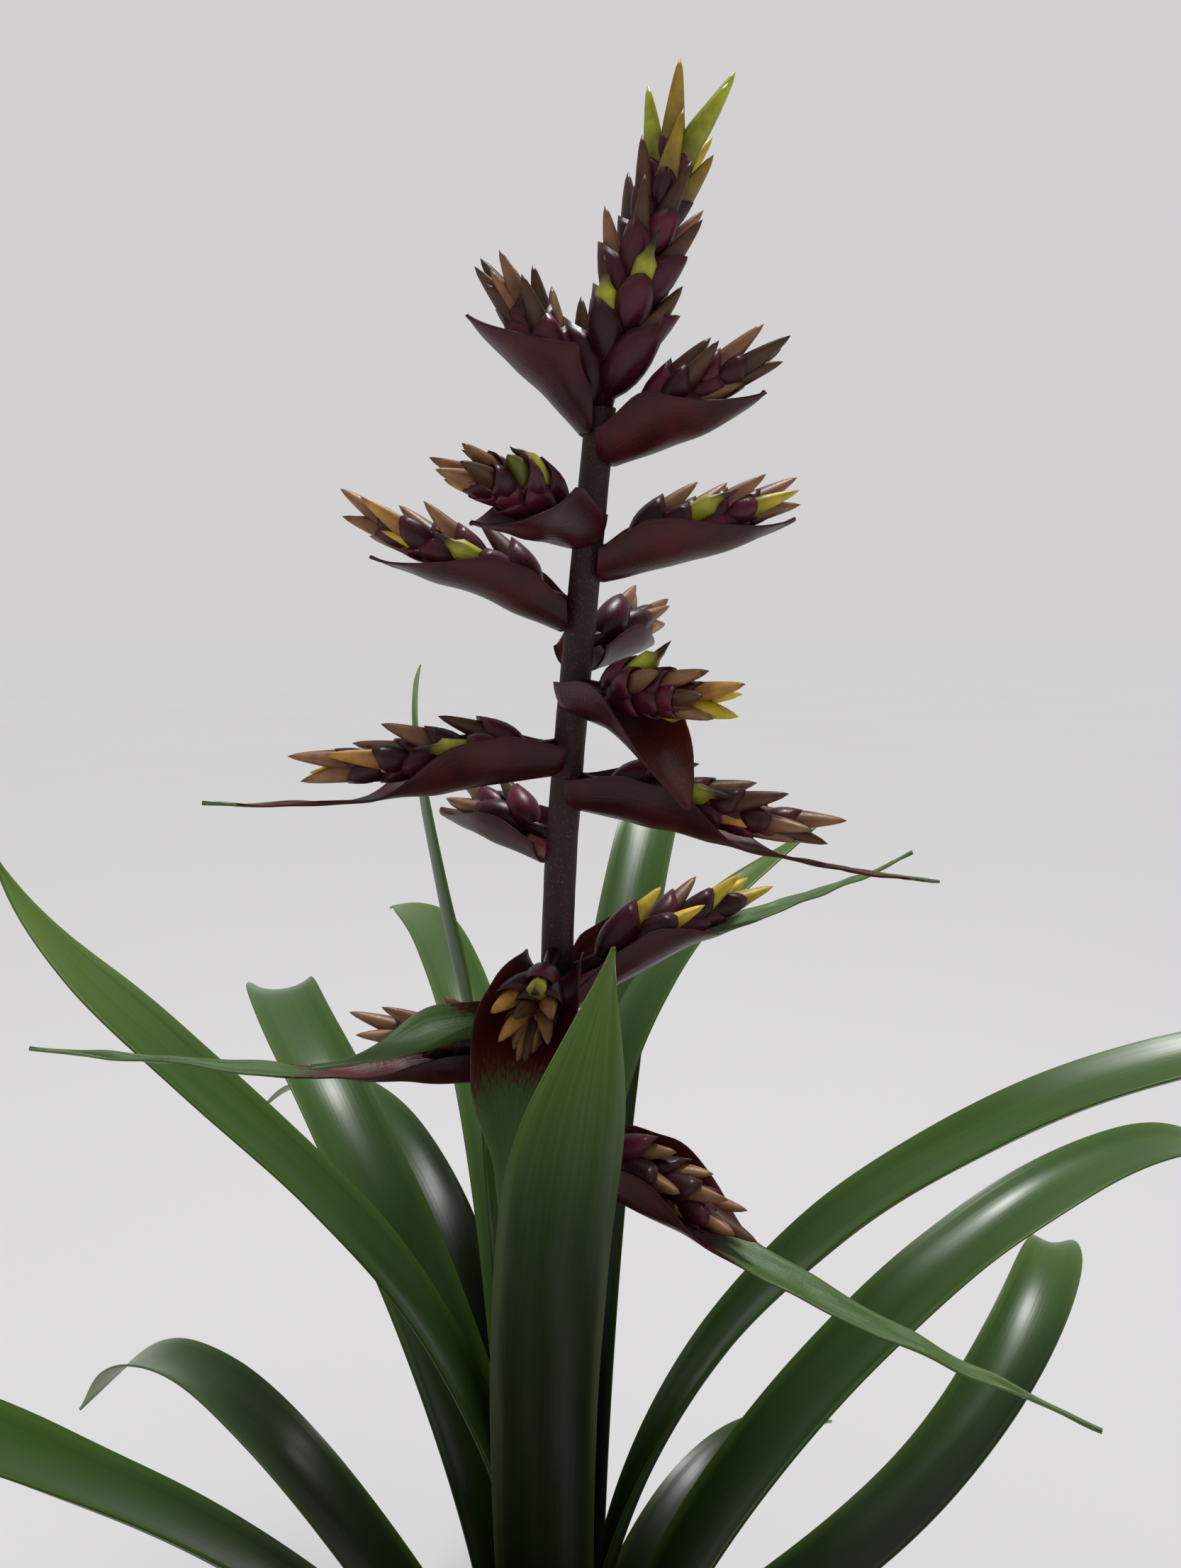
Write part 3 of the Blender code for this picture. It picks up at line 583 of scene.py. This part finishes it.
# age of a petal: length, thickness, colour at the cup, colour at the point
PETALS = {
    "b": (1.00, 1.00, (0.050, 0.014, 0.010), (0.110, 0.046, 0.016)),     # brown
    "t": (1.00, 1.00, (0.120, 0.036, 0.020), (0.360, 0.180, 0.080)),     # tan
    "o": (1.02, 0.98, (0.260, 0.100, 0.022), (0.640, 0.330, 0.070)),     # orange
    "y": (1.04, 1.00, (0.420, 0.400, 0.030), (0.820, 0.600, 0.045)),     # yellow
    "g": (1.10, 1.10, (0.200, 0.220, 0.014), (0.560, 0.620, 0.035)),     # green-yellow
    "u": (0.84, 1.15, (0.070, 0.055, 0.012), (0.170, 0.170, 0.022)),     # olive bud
    "v": (1.00, 1.05, (0.200, 0.150, 0.018), (0.420, 0.270, 0.022)),     # olive going orange
    "s": (1.06, 0.95, (0.420, 0.440, 0.035), (0.560, 0.560, 0.050)),     # open tube, withered point
}
WITHERED = (0.045, 0.020, 0.010)


def cup_shape(bm, tint, to_place, length, width, red):
    """A cup along +Z with its longer side at +X, moved into place."""
    made = bmesh.ops.create_uvsphere(bm, u_segments=CUP_SIDES, v_segments=CUP_RINGS, radius=1.0)["verts"]
    for v in made:
        ring = round(math.acos(max(-1.0, min(1.0, -v.co.z))) / math.pi * CUP_RINGS)
        turn = math.atan2(v.co.y, v.co.x)
        out = math.cos(turn)
        a = min(1.0, ring / RIM_RING)
        r = math.sin(math.pi * 0.72 * a ** 0.8)
        along = a * (1.0 + 0.15 * out * a) + 0.10 * max(0.0, out) ** 3 * a ** 4
        if ring > RIM_RING:
            b = (ring - RIM_RING) / (CUP_RINGS - RIM_RING)
            r = 0.70 * math.sqrt(max(0.0, 1.0 - b * b))
            along -= 0.30 * b
        r *= 1.0 + 0.07 * max(0.0, out) ** 6
        # painted shade at the foot of the cup gives way towards the rim to the red, which is partly a painted
        # highlight
        shade = mix(CUP_SHADED, CUP_RED_AND_LIT, red * ease(a * 1.1))
        v[tint] = (*mix(shade, CUP_RIM, 0.5 * (ring == RIM_RING)), 1.0)
        v.co = Vector((r * math.cos(turn) * width * 0.96, r * math.sin(turn) * width * 1.06, along * length))
    bmesh.ops.transform(bm, matrix=to_place, verts=made)


def petal_shape(bm, tint, to_place, kind, start, length, width, bend, draw):
    """A pointed petal along +Z, or an open tube with a withered point."""
    reach, thick, low, high = PETALS[kind]
    made = bmesh.ops.create_uvsphere(bm, u_segments=PETAL_SIDES, v_segments=PETAL_RINGS,
                                     radius=1.0)["verts"]
    for v in made:
        h = round(math.acos(max(-1.0, min(1.0, -v.co.z))) / math.pi * PETAL_RINGS) / PETAL_RINGS
        turn = math.atan2(v.co.y, v.co.x)
        r = math.sqrt(min(1.0, h / 0.22)) * (1.0 - h) ** 0.64
        dry = 0.55 * ease((h - 0.84) / 0.16) * (kind in "bto")
        shade = mix(mix(low, high, ease(h * 1.5 - 0.2)), WITHERED, dry)
        side = bend * h * h
        if kind == "s":
            r = 0.76 if h < 0.68 else 0.36 * (1.0 - h) / 0.32 + 0.02
            r = min(r, math.sqrt(h / 0.12))
            r *= 1.0 + 0.25 * (h > 0.68) * math.sin(3.0 * turn + 9.0 * h)
            shade = mix(shade, WITHERED, ease((h - 0.66) / 0.08))
            side += 2.4 * ease((h - 0.68) / 0.32) * math.sin(bend * 9.0)
        r *= 1.0 + 0.13 * math.cos(3.0 * turn)
        v[tint] = (*[c * draw for c in shade], 1.0)
        v.co = Vector((r * math.cos(turn) * width * thick + side, r * math.sin(turn) * width * thick,
                       start + (length * reach - start) * h))
    bmesh.ops.transform(bm, matrix=to_place, verts=made)


# %% [markdown]
# ## Clusters
# The letters beside each cluster say how old its flowers are, from the lowest flower to the top one,
# so that fresh yellow ones and withered tubes sit where they grow. A seeded chance then varies
# every flower a little in length, bend and colour, so that no two are alike.

# %% Clusters
AGES = {
    "01": "bbbsbbsbtbbbtbbbbvuvygguvg", "02": "tbbtbbttbbtb", "03": "bttbbubbtbbb",
    "04": "sttstubttobtt", "05": "btstttbyttottt", "06": "ttbsttbttttytt", "07": "ttttttottt",
    "08": "suttstbuttybyo", "09": "btsbtttottoytt", "10": "bstbttttbt", "11": "bststtotbtttbt",
    "12": "ytsyytoyyoyy", "13": "stsottttbttob", "14": "tbtbttbtt", "15": "tbttbtsbttttb",
}
# length and width of the cups as shares of a flower's: of the lowest flower, and what the last one loses
CUPS, TOP_CUPS = (0.51, 0.09, 0.62, 0.10), (0.78, 0.44, 0.72, 0.24)
LONGER_CUPS = {"04": 1.15, "12": 1.18, "13": 1.28, "15": 1.28}
TOP_DROP, CORE_SINK = 8.0, 1.6
CORE_END = 0.3           # radius of the core's end as a share of its thickness
TOP_CLOSE = 0.25         # share of their opening that the top cluster's last flowers lose
TOP_REACH = 1.12         # how much longer the petals of the top cluster are
TUBE_CUP = 0.9           # how much shorter the cup round an open tube is
PETAL_D = 4.5            # thickness of a petal
SIZE_SPREAD = 0.05       # how much chance makes a flower larger or smaller


def build_cluster(key, foot, climb, heading, length, count, thick, start, low_side, first_turn):
    axis, side, up = directions(math.radians(climb), math.radians(heading))
    cups, petals = bmesh.new(), bmesh.new()
    cup_tint = cups.verts.layers.float_color.new("tint")
    petal_tint = petals.verts.layers.float_color.new("tint")
    core = bmesh.ops.create_cone(cups, cap_ends=True, segments=10, radius1=thick * 0.5,
                                 radius2=thick * CORE_END, depth=1.0)["verts"]
    for v in core:
        d = (v.co.z + 0.5) * (length - FLORET_L * RACHIS_STOP + CORE_SINK) - CORE_SINK
        # the core is painted in the shade colour all over
        v[cup_tint] = (*CUP_SHADED, 1.0)
        v.co = foot + axis * d + side * v.co.x + up * v.co.y
    for i in range(count):
        t = i / max(1, count - 1)
        s = start + (length - FLORET_L * LAST_FLOWER - start) * t
        turn = math.radians(GOLDEN * i + first_turn)
        rad = side * math.cos(turn) + up * math.sin(turn)
        lean = FLORET_OPEN * (1.0 - (FLORET_CLOSE if low_side else TOP_CLOSE) * t * t)
        if low_side:
            lean *= FLORET_LOW + (1.0 - FLORET_LOW) * ease((math.sin(turn) - LOW_FROM) / LOW_RUN)
        lean = math.radians(lean)
        way = axis * math.cos(lean) + rad * math.sin(lean)
        out = rad * math.cos(lean) - axis * math.sin(lean)
        to_place = Matrix((out, way.cross(out), way)).transposed().to_4x4()
        to_place.translation = foot + axis * (s - (0.0 if low_side else TOP_DROP * (1.0 - t) ** 4))
        size = (1.0 - FLORET_SHRINK * t) * (1.0 + chance.uniform(-SIZE_SPREAD, SIZE_SPREAD))
        kind = AGES[key][i % len(AGES[key])]
        long_share, long_loss, wide_share, wide_loss = CUPS if low_side else TOP_CUPS
        cup_len = FLORET_L * size * (long_share - long_loss * t) * LONGER_CUPS.get(key, 1.0)
        if kind == "s":
            cup_len *= TUBE_CUP
        cup_shape(cups, cup_tint, to_place, cup_len, FLORET_D * size * (wide_share - wide_loss * t),
                  chance.uniform(0.0, 0.9) ** 1.5)
        petal_end = FLORET_L * size * (1.0 if low_side else TOP_REACH)
        petal_shape(petals, petal_tint, to_place, kind, cup_len * 0.5, petal_end,
                    PETAL_D * size, chance.uniform(-1.4, 1.0), chance.uniform(0.75, 1.2))
    make_piece("flower_cups_" + key, cups, (cup_maroon,), ["flower_head_" + key])
    make_piece("flower_petals_" + key, petals, (petal_wax,), [])


for key, row in SPRAYS.items():
    rise, heading, _, _, _, _, climb, head_len, count, lift, _ = row
    if count:
        a, e, z = math.radians(heading), math.radians(climb), SOIL_TOP + rise + lift
        r = stem_r(z) + 2.0 * GAP + RACHIS_D / 2.0 * abs(math.sin(e))
        foot = Vector((stem_x(z) + r * math.cos(a), r * math.sin(a), z))
        build_cluster(key, foot, climb, heading, head_len, count, RACHIS_D, FIRST_FLOWER, True,
                      FIRST_TURN + TURN_SHIFT * heading)
top_foot = Vector((stem_x(STEM_TOP), 0.0,
                   STEM_TOP + 2.0 * GAP + TOP_AXIS_D / 2.0 * math.sin(math.radians(TOP_LEAN))))
build_cluster("01", top_foot, 90.0 - TOP_LEAN, 0.0, TOP_LEN, TOP_COUNT, TOP_AXIS_D, TOP_FIRST, False,
              TOP_TURN)
print("clusters:", len(AGES))

# %% [markdown]
# ## Stem
# The flower stem is a slender rod that leans a little near its top, and its thickness wavers slightly.
# It could be a curve with a bevel, but a cone cut into many rings is moved ring by ring, because that
# gives the taper, the lean and the wavering in one rule.

# %% Stem
def build_stem():
    bm = bmesh.new()
    low, rings = SOIL_TOP + GAP, 120
    bmesh.ops.create_cone(bm, cap_ends=True, segments=24, radius1=1.0, radius2=1.0, depth=2.0)
    sides = [e for e in bm.edges if abs(e.verts[0].co.z - e.verts[1].co.z) > 1.0]
    bmesh.ops.subdivide_edges(bm, edges=sides, cuts=rings, use_grid_fill=False)
    for v in bm.verts:
        z = low + (STEM_TOP - low) * (v.co.z + 1.0) / 2.0
        turn = math.atan2(v.co.y, v.co.x)
        r = stem_r(z) * (1.0 + 0.03 * noise.noise(Vector((math.cos(turn), math.sin(turn), z * 0.05)) * 2.0))
        v.co = Vector((math.hypot(v.co.x, v.co.y) * r * math.cos(turn) + stem_x(z),
                       math.hypot(v.co.x, v.co.y) * r * math.sin(turn), z))
    return make_piece("flower_stem", bm, (stem_scurf,), ["stem"])


build_stem()

# %% [markdown]
# ## Pot and soil
# The pot is turned: its outline is drawn once and spun round the upright axis. Its floor stays closed
# here, and only the coarse solid has the drain holes, which nobody sees from above. The soil is turned
# too, then its top is roughened, and bark crumbs are strewn over it.

# %% Pot
def pot_radius(z, inside=0.0):
    slope = (POT_TOP_D - POT_BASE_D) / 2.0 / (POT_H - RIM_H)
    return POT_BASE_D / 2.0 + slope * min(z, POT_H - RIM_H) - inside


def turned(bm, outline, steps):
    """Spins an outline of (radius, height) round Z into a closed body."""
    points = [bm.verts.new((r, 0.0, z)) for r, z in outline]
    edges = [bm.edges.new(pair) for pair in zip(points, points[1:])]
    bmesh.ops.spin(bm, geom=points + edges, cent=(0, 0, 0), axis=(0, 0, 1), angle=FULL_TURN,
                   steps=steps, use_merge=True)
    bmesh.ops.remove_doubles(bm, verts=bm.verts, dist=1e-4)
    bmesh.ops.recalc_face_normals(bm, faces=bm.faces)


def build_pot():
    base, rim = POT_BASE_D / 2.0, pot_radius(POT_H) + RIM_OUT
    under, top = POT_H - RIM_H, POT_H
    outline = [(0.0, 2.0), (base - 6.0, 2.0), (base - 5.0, 0.6), (base - 4.0, 0.0), (base - 1.6, 0.0),
               (base - 0.4, 0.4), (base, 1.4), (pot_radius(under), under - 1.2),
               (pot_radius(under) + 0.5, under),
               (rim - 0.9, under + 0.1), (rim - 0.2, under + 0.5), (rim, under + 1.4), (rim, top - 2.0),
               (rim - 0.5, top - 0.6), (rim - 1.8, top), (pot_radius(top, POT_WALL) + 1.2, top),
               (pot_radius(top, POT_WALL) + 0.3, top - 0.5), (pot_radius(top, POT_WALL), top - 1.6),
               (pot_radius(4.2, POT_WALL), 4.2), (0.0, 4.2)]
    bm = bmesh.new()
    turned(bm, outline, 96)
    for edge in bm.edges:
        edge.smooth = edge.calc_face_angle(0.0) < math.radians(35.0)
    return make_piece("plant_pot", bm, (pot_plastic,), ["pot"])


build_pot()

# %% Soil and bark crumbs
CRUMBS, CRUMB_R = 420, (1.2, 3.4)
SOIL_SINK, SOIL_ROUGH = 0.7, 0.6      # how far the rough top lies under the coarse one, and its height


def soil_height(r, x, y):
    edge = pot_radius(SOIL_TOP - SOIL_FALL, POT_WALL + GAP)
    dome = SOIL_TOP - SOIL_FALL * ease((r / edge - 0.5) / 0.5)
    rough = noise.noise(Vector((x, y, 0.0)) * 0.22) + 0.5 * noise.noise(Vector((x, y, 9.0)) * 0.6)
    return dome - SOIL_SINK + SOIL_ROUGH * rough


def build_soil():
    low = SOIL_TOP - SOIL_DEPTH
    top_edge = pot_radius(SOIL_TOP - SOIL_FALL, POT_WALL + GAP)
    outline = [(0.0, low), (pot_radius(low, POT_WALL + GAP), low)]
    outline += [(top_edge * k / 28.0, SOIL_TOP - SOIL_FALL) for k in range(28, -1, -1)]
    bm = bmesh.new()
    turned(bm, outline, 90)
    for v in bm.verts:
        if v.co.z > low + 1.0:
            v.co.z = soil_height(math.hypot(v.co.x, v.co.y), v.co.x, v.co.y)
    return make_piece("potting_soil", bm, (soil_peat,), ["soil"])


def build_crumbs():
    bm = bmesh.new()
    edge = pot_radius(SOIL_TOP - SOIL_FALL, POT_WALL + GAP) - 2.0
    for _ in range(CRUMBS):
        r, turn = edge * math.sqrt(chance.uniform(0.12, 1.0)), chance.uniform(0.0, FULL_TURN)
        size = chance.uniform(*CRUMB_R)
        made = bmesh.ops.create_icosphere(bm, subdivisions=1, radius=size)["verts"]
        for v in made:
            v.co *= chance.uniform(0.7, 1.15)
            v.co.z *= 0.55
        spin = Matrix.Rotation(chance.uniform(0.0, FULL_TURN), 4, 'Z') @ Matrix.Rotation(
            chance.uniform(-0.6, 0.6), 4, 'X') @ Matrix.Diagonal((1.5, 0.8, 1.0, 1.0))
        x, y = r * math.cos(turn), r * math.sin(turn)
        bmesh.ops.transform(bm, matrix=Matrix.Translation((x, y, soil_height(r, x, y))) @ spin, verts=made)
    return make_piece("bark_crumbs", bm, (bark_crumb,), [])


build_soil()
build_crumbs()
print("pot, soil and", CRUMBS, "crumbs")

# %% [markdown]
# ## Floor, light and camera
# A large pale floor and a pale world make the studio. The main light is a sun with a wide, soft edge,
# above and behind the plant, so that the tops of the leaves shine and the front of the spike stays
# dark. A weak panel overhead adds to it. The world shows the camera a lighter grey than it lights the
# plant with, so that the backdrop is pale and the shade between the leaves stays deep.

# %% Floor
def build_floor():
    finish, tree, shader = begin("studio_floor")
    place = put(tree, "TexCoord").outputs["Object"]
    cloud = speckle(tree, place, 1.2, 2.0)
    tree.links.new(blend(tree, band(tree, cloud, 0.3, 0.7), (0.700, 0.686, 0.694), (0.712, 0.700, 0.706)),
                   shader.inputs["Base Color"])
    shader.inputs["Roughness"].default_value = 0.9
    bm = bmesh.new()
    bmesh.ops.create_grid(bm, x_segments=2, y_segments=2, size=60.0)
    mesh = bpy.data.meshes.new("studio_floor")
    bm.to_mesh(mesh)
    bm.free()
    mesh.materials.append(finish)
    floor = bpy.data.objects.new("studio_floor", mesh)
    bpy.context.scene.collection.objects.link(floor)


build_floor()
print("floor laid")

# %% Lights
def add_light(name, place, target, size, power):
    lamp = bpy.data.lights.new(name, 'AREA')
    lamp.shape = 'RECTANGLE'
    lamp.size, lamp.size_y = size
    lamp.energy = power
    ob = bpy.data.objects.new(name, lamp)
    ob.location = place
    ob.rotation_euler = (Vector(target) - Vector(place)).to_track_quat('-Z', 'Y').to_euler()
    bpy.context.scene.collection.objects.link(ob)


add_light("panel_above", (0.10, 0.30, 1.9), (0.0, 0.0, 0.3), (0.55, 0.55), 5.0)
SUN_STRENGTH, SUN_SPREAD = 1.95, 14.0
sun = bpy.data.lights.new("soft_daylight", 'SUN')
sun.energy = SUN_STRENGTH
sun.angle = math.radians(SUN_SPREAD)
sky = bpy.data.objects.new("soft_daylight", sun)
sky.rotation_euler = (Vector((0.0, 0.0, 0.0)) - Vector((0.12, 0.30, 1.0))).to_track_quat('-Z', 'Y').to_euler()
bpy.context.scene.collection.objects.link(sky)

# %% World
WORLD_SEEN, WORLD_LIGHT = (0.645, 0.630, 0.640), (0.33, 0.33, 0.335)
world = bpy.data.worlds.new("pale_room")
world.use_nodes = True
room = world.node_tree
seen = room.nodes["Background"]
seen.inputs["Color"].default_value = (*WORLD_SEEN, 1.0)
dim = room.nodes.new("ShaderNodeBackground")
dim.inputs["Color"].default_value = (*WORLD_LIGHT, 1.0)
ray = room.nodes.new("ShaderNodeLightPath")
choose = room.nodes.new("ShaderNodeMixShader")
room.links.new(ray.outputs["Is Camera Ray"], choose.inputs["Fac"])
room.links.new(dim.outputs["Background"], choose.inputs[1])
room.links.new(seen.outputs["Background"], choose.inputs[2])
room.links.new(choose.outputs["Shader"], room.nodes["World Output"].inputs["Surface"])
bpy.context.scene.world = world
bpy.context.scene.view_settings.view_transform = 'Standard'

# %% Camera
CAMERA_AT, CAMERA_DOWN, LENS_MM = (0.012, -0.360, 0.509), 7.3, 26.04
lens = bpy.data.cameras.new("studio_camera")
lens.sensor_fit = 'VERTICAL'
lens.sensor_height = 36.0
lens.lens = LENS_MM
lens.clip_start = 0.02
camera = bpy.data.objects.new("studio_camera", lens)
camera.location = CAMERA_AT
camera.rotation_euler = (math.radians(90.0 - CAMERA_DOWN), 0.0, 0.0)
bpy.context.scene.collection.objects.link(camera)
bpy.context.scene.camera = camera
